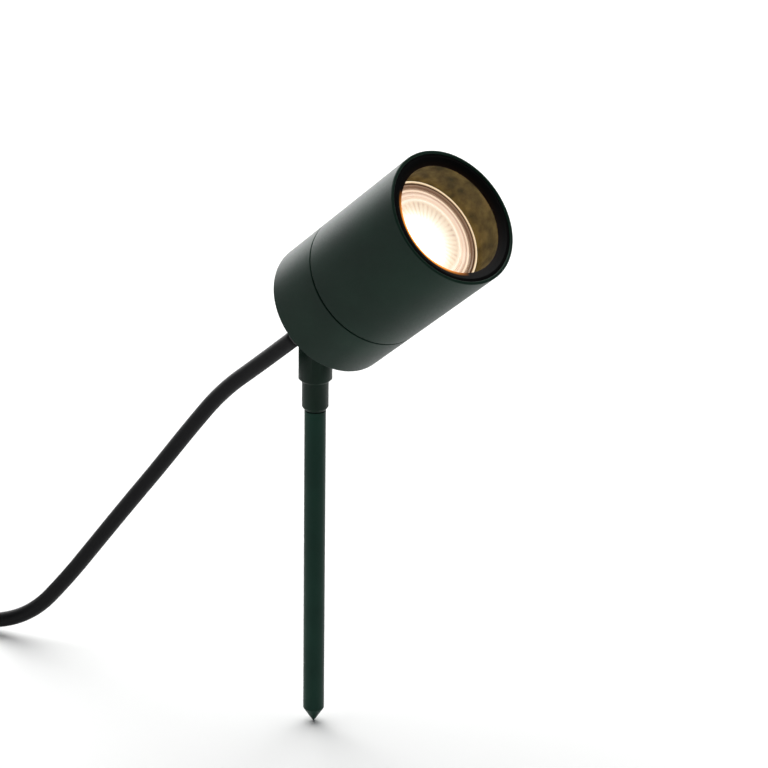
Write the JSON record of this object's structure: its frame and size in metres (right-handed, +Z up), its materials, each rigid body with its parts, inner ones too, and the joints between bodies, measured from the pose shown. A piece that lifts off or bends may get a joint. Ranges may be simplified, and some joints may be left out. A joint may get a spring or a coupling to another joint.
{
  "type": "garden spike spotlight",
  "caption": "Dark green garden spotlight: a round lamp housing that swivels and tilts on a steel ground spike, with a black rubber cord and plug.",
  "frame": {"origin": "on the ground spike's axis, at its top shoulder where the swivel stem starts", "axes": "+Z up along the spike towards the head, +X the way the head points, seen from above, +Y across along the tilt axis"},
  "size_m": [0.4956, 0.1012, 0.2816],
  "materials": {
    "painted_steel": "satin powder coat, dark green",
    "painted_aluminium": "satin powder coat, dark green, over die-cast and turned aluminium",
    "black_anodised": "satin black anodised",
    "steel": "plain stainless steel",
    "brass": "nickel-free turned brass",
    "black_rubber": "matte black rubber",
    "black_plastic": "matte moulded black plastic",
    "ceramic": "white steatite",
    "insulation": "off-white moulded insulation",
    "wire_brown": "brown wire insulation",
    "wire_blue": "light blue wire insulation",
    "wire_earth": "green and yellow wire insulation",
    "glass": "clear toughened glass",
    "lamp_white": "white moulded lamp body",
    "clear_plastic": "clear moulded plastic, lit from behind",
    "board": "white-coated aluminium diode board"
  },
  "bodies": {
    "spike": {"ground_spike": "painted_steel", "swivel_washer": "steel"},
    "stem": {"swivel_stem": "painted_steel", "stem_grub_screw": "steel", "tilt_screw": "steel", "tilt_nut": "steel", "friction_washer_left": "steel", "friction_washer_right": "steel", "cord_lead": "black_rubber", "cord_coil": "black_rubber", "cord_tie": "black_plastic", "cord_tail": "black_rubber", "plug_boot": "black_plastic", "plug_body": "black_plastic", "plug_pins": "brass", "plug_earth_clips": "brass"},
    "head": {"tilt_lug": "painted_aluminium", "lug_screws": "steel", "rear_cap": "painted_aluminium", "seam_o_ring": "black_rubber", "gland_body": "brass", "gland_nut": "brass", "gland_seal": "black_rubber", "cord_inner_end": "black_rubber", "holder_bracket": "steel", "bracket_screws": "steel", "lamp_holder": "ceramic", "holder_base": "insulation", "lamp_contacts": "brass", "holder_leads": "insulation", "terminal_block": "insulation", "terminal_screws": "brass", "earth_screw": "steel", "live_wire": "wire_brown", "neutral_wire": "wire_blue", "earth_wire": "wire_earth"},
    "barrel": {"front_barrel": "painted_aluminium", "bezel_ring": "black_anodised", "front_glass": "glass", "glass_gasket": "black_rubber"},
    "lamp": {"lamp_body": "lamp_white", "lamp_rim": "clear_plastic", "lamp_lens": "clear_plastic", "led_board": "board", "lamp_pins": "brass"}
  },
  "joints": [
    {"name": "stem_swivel", "type": "hinge", "parent": "spike", "child": "stem", "pos_m": [0, 0, 0], "axis": [0, 0, 1], "range_deg": [-175, 175]},
    {"name": "head_tilt", "type": "hinge", "parent": "stem", "child": "head", "pos_m": [0, 0, 0.0416], "axis": [0, -1, 0], "range_deg": [-44, 51], "deforming": ["cord_lead"]},
    {"name": "barrel_pull", "type": "slide", "parent": "head", "child": "barrel", "axis": [0.7771, 0, 0.6293], "range_m": [0, 0.06]},
    {"name": "lamp_twist", "type": "hinge", "parent": "head", "child": "lamp", "pos_m": [0, 0, 0.0416], "axis": [0.7771, 0, 0.6293], "range_deg": [-25, 0]}
  ]
}
